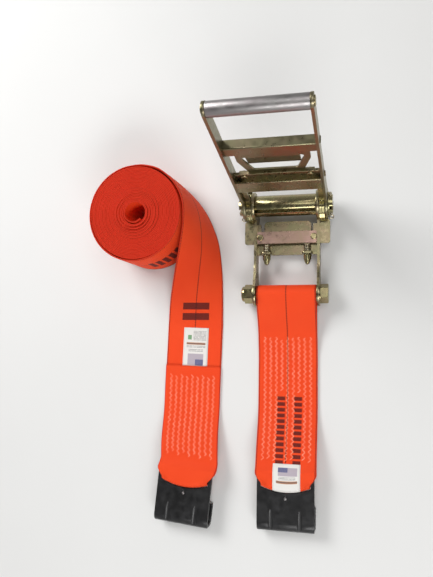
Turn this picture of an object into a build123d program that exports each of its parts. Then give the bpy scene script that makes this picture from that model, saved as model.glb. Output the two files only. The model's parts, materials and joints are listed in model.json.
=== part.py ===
from build123d import *
import math
import os

# Four-inch ratchet tie down: a long-handled ratchet with its short strap and flat hook, and the
# long strap, rolled up, with its own flat hook.  Millimetres, +X right, +Y away, +Z up.
# Everything is laid out from the anchor bolt (Y = 0) on the floor (Z = 0); the last step moves
# the whole set so that the origin is the middle of its footprint, on the floor.

os.makedirs("parts", exist_ok=True)

# ---- driving dimensions ---------------------------------------------------------------------
WEB_WIDTH = 101.6            # four-inch webbing
WEB_THICK = 2.5
INNER_GAP = 104.0            # between the frame's side plates
PLATE = 4.5                  # side plates and both pawls
AXLE_TO_BOLT = 150.0
AXLE_Z = 36.0
BOLT_Z = 21.0
BOLT_END_R = 21.0            # rounded rear end of a frame plate
AXLE_END_R = 24.0            # upper front end of a frame plate, under the tips of the teeth
WAIST = (7.0, 28.5)          # bottom and top of a frame plate between its ends

DRUM_R = 18.0                # the two half-round bars between the frame plates
DRUM_END_R = 15.5            # where they run in the plates
DRUM_SLOT = 6.5
DRUM_TILT = 42.0             # slot leans this far from upright, towards the bolt
DRUM_END_X = 79.0
FIT = 0.05                   # radial clearance of a running fit

TEETH = 12
TIP_R = 26.0
ROOT_R = 21.5
TOOTH_PHASE = 204.0          # one tooth tip stands here, just above the lock pawl
WHEEL_X = (57.1, 61.5, 61.6, 66.0)

HANDLE_LEAN = 12.7           # from upright, away from the bolt
HANDLE_L = 270.5             # axle to grip
HANDLE_X = 66.5              # inner face of a handle plate
HANDLE_Y = (-10.5, 11.5)     # front and back edge of a handle plate
HUB_R = 25.5
GRIP_R = 10.5
GRIP_WALL = 2.0
ROD_R = 4.0
SHEET = 3.0                  # folded sheet parts of the handle

PAWL_Z = 22.0                # middle of the lock pawl
LOCK_TRAVEL = 6.0
DRIVE_TRAVEL = 8.0
SPRING_X = 35.0

BOLT_R = 9.5
SLEEVE_R = 12.7
HEX_FLATS = 28.6

HOOK_WIDTH = 95.0
HOOK_THICK = 6.0
HOOK_HEIGHT = 30.0
LOOP_GAP = 0.3               # webbing to the steel that it goes round

ROLL_X = -247.1
ROLL_Y = 131.4
ROLL_R = 81.0
ROLL_HOLE_R = 15.5

PLATE_X = INNER_GAP / 2
OUTER_X = PLATE_X + PLATE
AXLE_Y = AXLE_TO_BOLT
SIDES = {"left": -1, "right": 1}

nodes = {}


# ---- helpers --------------------------------------------------------------------------------
def keep(name, *shapes):
    """Store the solids of one node."""
    nodes[name] = [solid for shape in shapes for solid in shape.solids()]


def slab(outline, x0, x1):
    """A plate across X, from an outline drawn in (Y, Z)."""
    low, high = min(x0, x1), max(x0, x1)
    return Pos(low, 0, 0) * extrude(Plane.YZ * outline, high - low)


def block(x, y, z):
    """A box from its (low, high) pairs."""
    size = [high - low for low, high in (x, y, z)]
    middle = [(high + low) / 2 for low, high in (x, y, z)]
    return Pos(*middle) * Box(*size)


def rod_x(radius, x0, x1, y=0.0, z=0.0):
    """A round bar along X."""
    return slab(Pos(y, z) * Circle(radius), x0, x1)


def ring_x(radius, hole, x0, x1, y=0.0, z=0.0):
    """A washer or tube along X."""
    return slab(Pos(y, z) * (Circle(radius) - Circle(hole)), x0, x1)


def span(low, high):
    """A rectangle in a sketch, from its lower and upper corner."""
    size = high[0] - low[0], high[1] - low[1]
    return Pos((low[0] + high[0]) / 2, (low[1] + high[1]) / 2) * Rectangle(*size)


def rounded(outline, radius, *points):
    """Round an outline's corners that stand nearest to the given points."""
    corners = outline.vertices()
    chosen = [min(corners, key=lambda v, p=p: math.dist((v.X, v.Y), p)) for p in points]
    return fillet(chosen, radius)


def spring(outer, wire, length, turns):
    """A coil spring along +Z from the origin, closed by its own wire at both ends."""
    path = Helix((length - 2 * wire) / turns, length - 2 * wire, outer - wire)
    start = Plane(path @ 0, z_dir=path % 0)
    return Pos(0, 0, wire) * sweep(start * Circle(wire), path, is_frenet=True)


ON_HANDLE = Pos(0, AXLE_Y, AXLE_Z) * Rot(X=-HANDLE_LEAN)
ON_DRUM = Pos(0, AXLE_Y, AXLE_Z) * Rot(X=DRUM_TILT)


# ---- frame ----------------------------------------------------------------------------------
def frame_plate_outline():
    low, high = WAIST
    waist = make_face(Polyline(
        (0, 0), (45, low), (110, low), (AXLE_Y - 12, 0), (AXLE_Y + 12, 0),
        (AXLE_Y + 21, AXLE_Z - 12), (AXLE_Y, AXLE_Z), (AXLE_Y - 12, high), (48, high),
        (12, BOLT_Z + 17), close=True))
    waist = rounded(waist, 25, (45, low), (110, low), (48, high))
    ends = Pos(0, BOLT_Z) * Circle(BOLT_END_R) + Pos(AXLE_Y, AXLE_Z) * Circle(AXLE_END_R)
    holes = Pos(0, BOLT_Z) * Circle(BOLT_R + FIT)
    holes += Pos(AXLE_Y, AXLE_Z) * Circle(DRUM_END_R + FIT)
    guide = span((PAWL_REAR - LOCK_TRAVEL - 0.5, PAWL_Z - PLATE / 2 - 0.2),
                 (PAWL_FRONT + 0.5, PAWL_Z + PLATE / 2 + 0.2))
    return waist + ends - holes - guide


PAWL_REAR = 86.0             # the lock pawl where it crosses a frame plate
PAWL_FRONT = 120.0
WEB_Z = (12.0, 16.0)         # the frame's cross plate, under the lock pawl
WEB_REAR = 68.0
WEB_FRONT = 127.0
LUG_TOP = 28.5
PRONG = (7.0, 4.4)           # width and thickness of the lock pawl's prongs

for side, s in SIDES.items():
    keep(f"frame_plate_{side}", slab(frame_plate_outline(), s * PLATE_X, s * OUTER_X))


def frame_web():
    base = span((-PLATE_X, WEB_REAR), (PLATE_X, 106))
    tongue = span((-41, 100), (41, WEB_FRONT))
    tongue = rounded(tongue, 7, (-41, WEB_FRONT), (41, WEB_FRONT))
    plate = Pos(0, 0, WEB_Z[0]) * extrude(base + tongue, WEB_Z[1] - WEB_Z[0])
    for x in (-SPRING_X, SPRING_X):
        lug = block((x - 9, x + 9), (WEB_REAR, WEB_REAR + 4), (WEB_Z[0], LUG_TOP))
        top = [e for e in lug.edges().filter_by(Axis.Y) if e.center().Z > LUG_TOP - 1]
        lug = fillet(top, 4)
        hole = Pos(x, WEB_REAR + 2, PAWL_Z) * Rot(X=90) * Cylinder(4.5, 10)
        plate += lug - hole
        plate -= hole
    return plate


keep("frame_web", frame_web())


def hexagon(flats):
    """A hexagon in (Y, Z) with a flat side on top."""
    return RegularPolygon(flats / math.sqrt(3), 6)


def bolt():
    at = Pos(0, 0, BOLT_Z)
    shaft = rod_x(BOLT_R, -76.5, OUTER_X + 1.6)
    shaft = chamfer(shaft.edges().filter_by(GeomType.CIRCLE).sort_by(Axis.X)[0], 1.2)
    head = slab(hexagon(HEX_FLATS), OUTER_X + 1.6, OUTER_X + 14.3)
    turned = rod_x(HEX_FLATS / math.sqrt(3) + 0.1, OUTER_X, OUTER_X + 14.3)
    turned = chamfer(turned.edges().filter_by(GeomType.CIRCLE).sort_by(Axis.X)[-1], 1.0, 2.2)
    return at * (shaft + (head & turned))


def lock_nut():
    hexed = slab(hexagon(HEX_FLATS), -OUTER_X - 16, -OUTER_X - 1.6)
    collar = rod_x(13.2, -OUTER_X - 21, -OUTER_X - 15)
    ends = collar.edges().filter_by(GeomType.CIRCLE).group_by(Axis.X)[0]
    body = hexed + fillet(ends, 3)
    body -= rod_x(BOLT_R, -OUTER_X - 22, -OUTER_X)
    return Pos(0, 0, BOLT_Z) * (body - rod_x(11.4, -OUTER_X - 19.5, -OUTER_X - 16.5))


keep("anchor_bolt", bolt())
keep("bolt_washers", *[ring_x(17, BOLT_R + 0.3, s * OUTER_X, s * (OUTER_X + 1.6), z=BOLT_Z)
                       for s in SIDES.values()])
keep("lock_nut", lock_nut())
keep("lock_nut_insert", ring_x(11.4, BOLT_R, -OUTER_X - 19.5, -OUTER_X - 16.5, z=BOLT_Z))
keep("bolt_sleeve", ring_x(SLEEVE_R, BOLT_R + 0.15, -PLATE_X + 0.2, PLATE_X - 0.2, z=BOLT_Z))


# ---- drum and ratchet wheels ----------------------------------------------------------------
def half_moon(radius, sign, gap=DRUM_SLOT):
    """Half of a slotted round, in (Y, Z); the slot stands upright until it is turned."""
    near, far = sorted((sign * gap / 2, sign * 60))
    return Circle(radius) & span((near, -60), (far, 60))


def drum_bar(sign):
    bar = slab(half_moon(DRUM_R, sign), -PLATE_X + 0.3, PLATE_X - 0.3)
    bar += slab(half_moon(DRUM_END_R, sign), -DRUM_END_X, DRUM_END_X)
    for s in SIDES.values():
        bar -= Pos(s * PIN_X, 0, 0) * Rot(X=90) * Cylinder(PIN_R + FIT, 80)
    return ON_DRUM * bar


def ratchet_outline():
    """Saw teeth: a steep face after each tip, then a root and a long back."""
    pitch = 360 / TEETH
    shape = ((0, TIP_R), (2, ROOT_R), (9, ROOT_R), (22, TIP_R - 0.3))
    points = []
    for k in range(TEETH):
        for turn, radius in shape:
            a = math.radians(TOOTH_PHASE + k * pitch + turn)
            points.append((radius * math.cos(a), radius * math.sin(a)))
    return make_face(Polyline(*points, close=True))


PIN_X = 76.0
PIN_R = 2.0
keep("drum_bar_rear", drum_bar(-1))
keep("drum_bar_front", drum_bar(1))
bars = [half_moon(DRUM_END_R + FIT, sign, DRUM_SLOT - 2 * FIT) for sign in (-1, 1)]
for side, s in SIDES.items():
    for place, x0, x1 in (("inner", *WHEEL_X[:2]), ("outer", *WHEEL_X[2:])):
        wheel = ratchet_outline()
        for moon in bars:
            wheel -= Rot(Z=DRUM_TILT) * moon
        keep(f"ratchet_wheel_{side}_{place}",
             Pos(0, AXLE_Y, AXLE_Z) * slab(wheel, s * x0, s * x1))
keep("drum_washers", *[ring_x(20, DRUM_END_R + FIT, s * (HANDLE_X + PLATE + 0.3),
                              s * (PIN_X - PIN_R - 0.2), y=AXLE_Y, z=AXLE_Z) for s in SIDES.values()])


def cotter_pin(x):
    shank = Cylinder(PIN_R, 41.5)
    eye = Pos(0, 0, 24.6) * Rot(X=90) * Torus(3.2, 1.2)
    return ON_DRUM * Pos(x, 0, 0) * Rot(X=90) * (shank + eye)


keep("cotter_pins", *[cotter_pin(s * PIN_X) for s in SIDES.values()])


# ---- handle, drawn upright about the axle ---------------------------------------------------
EAR_ZH = (94.0, 104.0)       # the drive pawl's ears, in slots in the handle plates
MID_ZH = (168.0, 186.0)      # the folded bar across the handle
TAB_Y = (-2.0, 8.0)
GRIP_Y = (HANDLE_Y[0] + HANDLE_Y[1]) / 2


def handle_plate_outline():
    front, back = HANDLE_Y
    strip = span((front, 0), (back, HANDLE_L))
    flare = make_face(Polyline((back, 105), (20.5, 15.1), (0, 0), close=True))
    shape = Circle(HUB_R) + strip + flare + Pos(GRIP_Y, HANDLE_L) * Circle((back - front) / 2)
    shape -= Circle(DRUM_END_R + FIT)
    shape -= span((-PLATE / 2 - 0.3, EAR_ZH[0] - 0.7), (PLATE / 2 + 0.3, EAR_ZH[1] + DRIVE_TRAVEL + 0.7))
    shape -= span((TAB_Y[0], MID_ZH[1] - SHEET), (TAB_Y[1], MID_ZH[1]))
    return shape - Pos(GRIP_Y, HANDLE_L) * Circle(ROD_R)


def mid_bar():
    """A channel folded from sheet, open downwards, with a tab at each end."""
    front, back = -4.5, 12.0
    top = MID_ZH[1] - SHEET
    outline = span((front, top), (back, MID_ZH[1]))
    outline += span((front, MID_ZH[0]), (front + SHEET, top))
    outline += span((back - SHEET, MID_ZH[0] + 6), (back, top))
    outline = rounded(outline, 2, (front, MID_ZH[1]), (back, MID_ZH[1]))
    bar = slab(outline, -HANDLE_X, HANDLE_X)
    return bar + block((-HANDLE_X - PLATE - 1.5, HANDLE_X + PLATE + 1.5), TAB_Y, (top, MID_ZH[1]))


for side, s in SIDES.items():
    keep(f"handle_plate_{side}",
         ON_HANDLE * slab(handle_plate_outline(), s * HANDLE_X, s * (HANDLE_X + PLATE)))
keep("grip_tube", ON_HANDLE * ring_x(GRIP_R, GRIP_R - GRIP_WALL, -HANDLE_X, HANDLE_X, GRIP_Y, HANDLE_L))


def grip_rod():
    end = HANDLE_X + PLATE
    rod = rod_x(ROD_R, -end, end, GRIP_Y, HANDLE_L)
    for s in SIDES.values():
        head = rod_x(7, s * end, s * (end + 2), GRIP_Y, HANDLE_L)
        rim = head.edges().filter_by(GeomType.CIRCLE).sort_by(Axis.X)[-1 if s > 0 else 0]
        rod += fillet(rim, 1.2)
    return ON_HANDLE * rod


keep("grip_rod", grip_rod())
keep("handle_mid_bar", ON_HANDLE * mid_bar())
keep("handle_web", ON_HANDLE * slab(rounded(span((HANDLE_Y[0], 70), (HANDLE_Y[0] + SHEET, 99)), 1.2,
                                            (HANDLE_Y[0], 99), (HANDLE_Y[0], 70)), -HANDLE_X, HANDLE_X))


# ---- drive pawl and its finger pull ---------------------------------------------------------
DRIVE_BASE = (88.0, 112.0)
LEG_X = (57.5, 65.5)
PAWL_TIP = TIP_R + 0.3       # the legs stand on the crests of the teeth
PULL_Y = (PLATE / 2, PLATE / 2 + SHEET)
PULL_TOP = 166.0
PULL_HOLE = ((33, 117), (48, 151))
DRIVE_RIVET = (51.0, 104.0)
LOCK_RIVET = (46.0, 97.5)


def across(outline, y0, y1):
    """A plate in the handle's own plane, from an outline drawn in (X, Z)."""
    return Pos(0, y1, 0) * extrude(Plane.XZ * outline, y1 - y0)


def mirrored(*points):
    """A closed outline from its right half, given from the bottom up."""
    left = [(-x, z) for x, z in reversed(points)]
    return make_face(Polyline(*points, *left, close=True))


def drive_pawl():
    low, high = DRIVE_BASE
    shape = span((-HANDLE_X + 0.4, low), (HANDLE_X - 0.4, high))
    shape += span((-HANDLE_X - PLATE - 2.5, EAR_ZH[0]), (HANDLE_X + PLATE + 2.5, EAR_ZH[1]))
    for s in SIDES.values():
        inner, outer = sorted((s * LEG_X[0], s * LEG_X[1]))
        shape += span((inner, PAWL_TIP), (outer, low))
        shape -= Pos(s * DRIVE_RIVET[0], DRIVE_RIVET[1]) * Circle(3)
    return across(shape, -PLATE / 2, PLATE / 2)


def finger_pull():
    """A sheet with a wide hole; a lip for the fingers hangs behind the hole's upper edge."""
    low, high = 97.0, 111.0
    shape = span((-58, low), (58, high))
    shape += mirrored((42.6, low), (42.6, high), (55, 141.5), (55.4, PULL_TOP))
    hole = mirrored(PULL_HOLE[0], PULL_HOLE[1])
    hole = fillet(hole.vertices(), 4)
    shape -= hole
    for s in SIDES.values():
        shape -= Pos(s * DRIVE_RIVET[0], DRIVE_RIVET[1]) * Circle(3)
        shape += Pos(s * 30, PULL_TOP + 4) * Rectangle(5, 8)
    sheet = across(shape, *PULL_Y)
    front, back = PULL_Y
    top, end = PULL_HOLE[1][1], PULL_HOLE[1][1] - 22
    lip = make_face(Polyline((front, top + 2), (back, top + 2), (back + 3.4, end + 0.7),
                             (back + 0.5, end), (front, top - 1), close=True))
    lip = rounded(lip, 1, (back + 3.4, end + 0.7), (back + 0.5, end))
    return sheet + slab(lip, -40, 40)


def rivet(length, shank=3.0, head=5.5, crown=2.0):
    """A rivet along +Z: its shank from 0 to length, a low round head beyond each end."""
    body = Pos(0, 0, length / 2) * Cylinder(shank, length)
    for z, turn in ((length, 0), (0, 180)):
        cap = extrude(Circle(head), crown)
        rim = cap.edges().filter_by(GeomType.CIRCLE).sort_by(Axis.Z)[-1]
        body += Pos(0, 0, z) * Rot(X=turn) * fillet(rim, crown * 0.8)
    return body


keep("drive_pawl", ON_HANDLE * drive_pawl())
keep("finger_pull", ON_HANDLE * finger_pull())
keep("drive_pawl_rivets", *[ON_HANDLE * Pos(s * DRIVE_RIVET[0], -PLATE / 2, DRIVE_RIVET[1]) * Rot(X=-90)
                            * rivet(PLATE + SHEET) for s in SIDES.values()])
keep("drive_pawl_springs", *[ON_HANDLE * Pos(s * 30, sum(PULL_Y) / 2, PULL_TOP)
                             * spring(5.0, 0.65, MID_ZH[1] - SHEET - PULL_TOP, 6) for s in SIDES.values()])


# ---- lock pawl ------------------------------------------------------------------------------
PAWL_NOSE = 130.5            # the pawl's tips, in the tooth gaps
EAR_FRONT = 126.5            # outside the wheels the ears stop short of the handle's hub
EAR_X = 73.5
PRONG_END = 52.0
BAR_TOP = PAWL_Z + PLATE / 2 + SHEET


def beside(side, inner, outer, y0, y1):
    """A rectangle in plan, between two distances from the middle on one side."""
    x0, x1 = sorted((side * inner, side * outer))
    return span((x0, y0), (x1, y1))


def lock_pawl():
    shape = span((-50, PAWL_REAR), (50, 107.5))
    for s in SIDES.values():
        shape += beside(s, 45, 57, PAWL_REAR, PAWL_FRONT)
        ear = beside(s, 56.9, EAR_X, PAWL_REAR, EAR_FRONT)
        shape += rounded(ear, 4, (s * EAR_X, PAWL_REAR), (s * EAR_X, EAR_FRONT))
        shape += beside(s, 57, WHEEL_X[-1] + 0.1, 100, PAWL_NOSE)
        shape += Pos(s * SPRING_X, (PAWL_REAR + PRONG_END) / 2) * Rectangle(PRONG[0], PAWL_REAR - PRONG_END)
        shape -= Pos(s * LOCK_RIVET[0], LOCK_RIVET[1]) * Circle(3)
    return Pos(0, 0, PAWL_Z - PRONG[1] / 2) * extrude(shape, PRONG[1])


def keeper():
    """An acorn-shaped button on a prong's end, turned about -Y."""
    outline = make_face(Polyline((0, 0), (6.0, 0), (7.0, 2.5), (6.4, 8), (3.2, 16.5), (0, 18), close=True))
    acorn = revolve(Plane.XZ * outline, Axis.Z)
    return Rot(X=90) * acorn - Pos(0, -7.6, 0) * Box(PRONG[0], 15.8, PRONG[1])


keep("lock_pawl", lock_pawl())
bar = rounded(span((-51, PAWL_REAR + 0.5), (51, 107.5)), 2, (-51, PAWL_REAR + 0.5), (51, PAWL_REAR + 0.5),
              (-51, 107.5), (51, 107.5))
for s in SIDES.values():
    bar -= Pos(s * LOCK_RIVET[0], LOCK_RIVET[1]) * Circle(3)
keep("lock_pawl_bar", Pos(0, 0, PAWL_Z + PRONG[1] / 2) * extrude(bar, SHEET))
keep("lock_pawl_rivets", *[Pos(s * LOCK_RIVET[0], LOCK_RIVET[1], PAWL_Z - PRONG[1] / 2)
                           * rivet(PRONG[1] + SHEET, crown=1.8) for s in SIDES.values()])
keep("lock_pawl_keepers", *[Pos(s * SPRING_X, WEB_REAR - 0.5, PAWL_Z) * keeper() for s in SIDES.values()])
keep("lock_pawl_springs", *[Pos(s * SPRING_X, WEB_REAR + 4.1, PAWL_Z) * Rot(X=-90)
                            * spring(6.0, 0.75, PAWL_REAR - WEB_REAR - 4.2, 4.5) for s in SIDES.values()])


# ---- flat hook and the webbing through it ---------------------------------------------------
# Drawn about the middle of its slot, the bend towards -Y, lying on its curl.
HOOK_REACH = 68.0            # slot to the outside of the bend
HOOK_TIP = 30.0              # slot to the end of the curl
HOOK_HEEL = 27.0             # the slot to the plate's webbing end
SLOT_R = 102.5               # the slot is an arc, bowed towards the bend
SLOT_HALF = 42.0
SLOT_WIDE = 8.0
LOOP_HALF = 40.0
LABEL_WIDTH = 46.0
LABEL_THICK = 0.5
FLEX_Y = 31.0                # the webbing hinges here, behind the plate


def hook_blank():
    out, inn = HOOK_HEIGHT / 2, HOOK_HEIGHT / 2 - HOOK_THICK
    bend = -HOOK_REACH + out
    outline = Pos(bend, out) * (Circle(out) - Circle(inn)) & span((-HOOK_REACH - 1, -1), (bend, 40))
    outline += span((bend, HOOK_HEIGHT - HOOK_THICK), (HOOK_HEEL, HOOK_HEIGHT))
    outline += span((bend, 0), (-HOOK_TIP, HOOK_THICK))
    outline = rounded(outline, 2.5, (-HOOK_TIP, HOOK_THICK), (-HOOK_TIP, 0))
    return slab(outline, -HOOK_WIDTH / 2, HOOK_WIDTH / 2)


def arc_band(half_width, width):
    """A stretch of a ring in plan, bowed towards -Y, between two upright lines."""
    ring = Circle(SLOT_R + width / 2) - Circle(SLOT_R - width / 2)
    return Pos(0, SLOT_R) * ring & span((-half_width, -60), (half_width, 60))


def flat_hook():
    plan = span((-HOOK_WIDTH / 2, -HOOK_REACH - 1), (HOOK_WIDTH / 2, HOOK_HEEL))
    hook = hook_blank() & extrude(fillet(plan.vertices(), 5), HOOK_HEIGHT + 1)
    slot = extrude(arc_band(SLOT_HALF, SLOT_WIDE), HOOK_THICK + 2)
    hook -= Pos(0, 0, HOOK_HEIGHT - HOOK_THICK - 1) * slot
    for x in (-24, 24):
        groove = Pos(x, -HOOK_REACH + 12, HOOK_HEIGHT + 2.4) * Rot(X=96) * Cylinder(5.2, 60)
        hook -= groove & block((x - 10, x + 10), (-HOOK_REACH - 20, -31), (HOOK_HEIGHT / 2, HOOK_HEIGHT + 20))
    return hook - Pos(0, -8, HOOK_HEIGHT + 1.2) * Sphere(2.6)


def end_loop():
    """The webbing's end: over the plate's bar, down through the slot, and back underneath."""
    under = HOOK_HEIGHT - HOOK_THICK - LOOP_GAP - WEB_THICK
    over = HOOK_HEIGHT + LOOP_GAP
    disc = Pos(0, SLOT_R) * Circle(SLOT_R + WEB_THICK / 2)
    ply = disc & span((-LOOP_HALF, -20), (LOOP_HALF, FLEX_Y))
    loop = Pos(0, 0, over) * extrude(ply, WEB_THICK) + Pos(0, 0, under) * extrude(ply, WEB_THICK)
    loop += Pos(0, 0, under) * extrude(arc_band(LOOP_HALF, WEB_THICK), over + WEB_THICK - under)
    throat = block((-LOOP_HALF, LOOP_HALF), (HOOK_HEEL + LOOP_GAP, FLEX_Y), (under, over + WEB_THICK))
    return loop + throat


def sew_label(length, top, y0):
    """A woven label, from y0 on, lying on webbing whose top is given."""
    return block((-LABEL_WIDTH / 2, LABEL_WIDTH / 2), (y0, y0 + length), (top, top + LABEL_THICK))


HOOK_PLACES = {
    "fixed": Pos(0, -326.0, 0),
    "long": Pos(-174.3, -328.3, 0) * Rot(Z=-5.5),
}
for name, place in HOOK_PLACES.items():
    keep(f"{name}_hook", place * flat_hook())
    keep(f"{name}_hook_loop", place * end_loop())
keep("fixed_hook_label", HOOK_PLACES["fixed"] * sew_label(29, HOOK_HEIGHT + LOOP_GAP + WEB_THICK, 1.5))


# ---- short strap: one loop round the bolt's sleeve, sewn flat on itself ---------------------
JOINT_GAP = 5.0              # free webbing between the strap and the hook's loop
FLEX_Z = 27.0                # height of the webbing where it leaves a hook
LIFT_RUN = 92.0              # length of webbing that rises from the floor to a hook
FIXED_FLEX = -326.0 + FLEX_Y + JOINT_GAP


def strip_along(points, radius, thick):
    """Webbing seen edge-on along a line in (Y, Z), as a closed strip across X."""
    line = FilletPolyline(*points, radius=radius)
    return slab(trace(line, thick), -WEB_WIDTH / 2, WEB_WIDTH / 2)


def short_strap():
    inner = SLEEVE_R + LOOP_GAP
    outer = inner + WEB_THICK
    low = WEB_THICK
    line = ((-28, 17.5), (-80, low), (FIXED_FLEX + LIFT_RUN, low), (FIXED_FLEX, FLEX_Z))
    tail = strip_along(line, 120, 2 * WEB_THICK)
    wedge = make_face(Polyline((0, BOLT_Z + outer), (-30, 20), (-30, 15), (0, BOLT_Z - outer), close=True))
    loop = Pos(0, BOLT_Z) * Circle(outer) + wedge
    hole = Pos(0, BOLT_Z) * Circle(inner) + make_face(
        Polyline((0, BOLT_Z + inner), (-26, 18.6), (-26, 16.6), (0, BOLT_Z - inner), close=True))
    return slab(loop - hole, -WEB_WIDTH / 2, WEB_WIDTH / 2) + tail


keep("short_strap", short_strap())


# ---- long strap: roll, twisted tail, flat run and sewn end ----------------------------------
# The outermost turn leaves the roll on edge and twists down flat.  It is ruled between two rails:
# its lower edge, on the floor, and its upper edge.
LEAVES_ROLL = ((-250.0, 213.9), (-232.0, 213.3), (-205.0, 204.4))
FLOOR_RAIL = ((-176, 181), (-153, 152), (-137, 121), (-126, 88), (-119.5, 40), (-117.5, -5),
              (-116.9, -50))
TOP_RAIL = ((-178, 179, 101.6), (-164.5, 150, 100.6), (-164, 118, 96), (-175, 77, 79),
            (-195, 33, 45), (-212, -10, 13), (-218.5, -50, 0))
TAIL_STEPS = 28
LONG_START = (-167.7, -51.0)  # middle of the strap where it lies flat
LONG_FLEX = (-171.5, -328.3 + FLEX_Y + JOINT_GAP)
SEAM_START = 78.0            # along the flat run, to the cut end that is sewn down
LABEL_START = 8.0


def long_roll():
    ring = Pos(ROLL_X, ROLL_Y) * (Circle(ROLL_R) - Circle(ROLL_HOLE_R))
    return extrude(ring, WEB_WIDTH)


def long_tail():
    tangents = ((1, 0.03, 0), (0, -1, 0))
    lift = WEB_THICK / 2
    floor = [(x, y, lift) for x, y in LEAVES_ROLL + FLOOR_RAIL]
    top = [(x, y, WEB_WIDTH + lift) for x, y in LEAVES_ROLL] + [(x, y, z + lift) for x, y, z in TOP_RAIL]
    rails = [Spline(*points, tangents=tangents) for points in (floor, top)]
    sections = []
    for k in range(TAIL_STEPS + 1):
        a, b = [rail @ (k / TAIL_STEPS) for rail in rails]
        along = sum((rail % (k / TAIL_STEPS) for rail in rails), Vector())
        half = (b - a).cross(along).normalized() * lift
        sections.append(make_face(Polyline(a - half, b - half, b + half, a + half, close=True)))
    return loft(sections, ruled=True)


def on_long_run():
    """A frame on the floor at the start of the flat run, turned so that the run is along -Y."""
    dx, dy = LONG_FLEX[0] - LONG_START[0], LONG_FLEX[1] - LONG_START[1]
    return Pos(*LONG_START) * Rot(Z=math.degrees(math.atan2(dx, -dy)))


def long_run(start, level):
    """One ply of the run, from start, lying on as many plies as level says."""
    length = math.dist(LONG_START, LONG_FLEX)
    low, top = WEB_THICK / 2, FLEX_Z - WEB_THICK / 2
    slope = math.atan2(top - low, LIFT_RUN)
    lift = level * (WEB_THICK + 0.05)
    line = ((-start, low + lift), (LIFT_RUN - length + lift * math.tan(slope / 2), low + lift),
            (-length + lift * math.sin(slope), top + lift * math.cos(slope)))
    return on_long_run() * strip_along(line, 150 - lift, WEB_THICK)


keep("long_strap_roll", long_roll())
keep("long_strap_tail", long_tail())
keep("long_strap", long_run(0, 0))
keep("long_strap_sewn_end", long_run(SEAM_START, 1))
label = sew_label(SEAM_START - LABEL_START - 0.5, WEB_THICK, -SEAM_START + 0.5)
keep("long_strap_label", on_long_run() * label)


# ---- put the origin in the middle of the footprint and write the files ----------------------
boxes = [solid.bounding_box() for solids in nodes.values() for solid in solids]
low = [min(getattr(box.min, axis) for box in boxes) for axis in "XYZ"]
high = [max(getattr(box.max, axis) for box in boxes) for axis in "XYZ"]
SHIFT = (-(low[0] + high[0]) / 2, -(low[1] + high[1]) / 2, -low[2])

if __name__ == "__main__":
    for name, solids in nodes.items():
        placed = [Pos(*SHIFT) * solid for solid in solids]
        export_step(Compound(placed) if len(placed) > 1 else placed[0], f"parts/{name}.step")
    print("nodes", len(nodes), "size", [round(b - a, 2) for a, b in zip(low, high)], "shift", SHIFT)
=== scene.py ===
import bisect
import json
import math

import bpy
import numpy as np
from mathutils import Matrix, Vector

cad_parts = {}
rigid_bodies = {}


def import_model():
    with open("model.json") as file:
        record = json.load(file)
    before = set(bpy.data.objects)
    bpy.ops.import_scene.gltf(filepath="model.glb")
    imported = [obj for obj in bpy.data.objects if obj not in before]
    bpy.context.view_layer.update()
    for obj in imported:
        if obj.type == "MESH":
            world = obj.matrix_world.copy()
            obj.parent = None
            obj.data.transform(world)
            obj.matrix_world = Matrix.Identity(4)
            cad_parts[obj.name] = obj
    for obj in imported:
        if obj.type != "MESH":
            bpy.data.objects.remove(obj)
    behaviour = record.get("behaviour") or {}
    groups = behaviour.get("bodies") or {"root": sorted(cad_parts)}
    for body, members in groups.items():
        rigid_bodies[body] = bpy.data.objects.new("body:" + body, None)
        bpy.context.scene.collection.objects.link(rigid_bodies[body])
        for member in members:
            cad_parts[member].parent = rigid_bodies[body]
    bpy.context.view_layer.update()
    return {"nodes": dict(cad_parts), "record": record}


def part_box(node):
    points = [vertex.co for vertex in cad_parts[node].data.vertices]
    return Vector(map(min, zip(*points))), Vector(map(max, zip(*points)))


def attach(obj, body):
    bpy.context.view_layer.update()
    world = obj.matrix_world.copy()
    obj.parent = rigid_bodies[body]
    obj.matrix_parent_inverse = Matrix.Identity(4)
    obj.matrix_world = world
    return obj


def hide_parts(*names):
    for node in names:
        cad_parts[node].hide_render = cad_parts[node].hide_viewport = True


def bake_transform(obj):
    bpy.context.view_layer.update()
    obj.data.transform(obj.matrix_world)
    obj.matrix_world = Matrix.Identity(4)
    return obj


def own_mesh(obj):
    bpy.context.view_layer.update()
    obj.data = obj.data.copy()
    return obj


# Looks of a four-inch ratchet tie down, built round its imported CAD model.  Lengths are in
# millimetres from the anchor bolt's axis on the floor (the CAD source's own layout), +X right,
# +Y away from the hooks, +Z up; at() and placed() turn them into metres in the frame.

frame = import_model()

MM = 0.001
bolt_low, bolt_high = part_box("bolt_sleeve")
ORIGIN = np.array([(bolt_low[0] + bolt_high[0]) / 2, (bolt_low[1] + bolt_high[1]) / 2, 0.0])
BOLT_Z = (bolt_low[2] + bolt_high[2]) / 2 / MM
SLEEVE_R = (bolt_high[2] - bolt_low[2]) / 2 / MM

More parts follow.
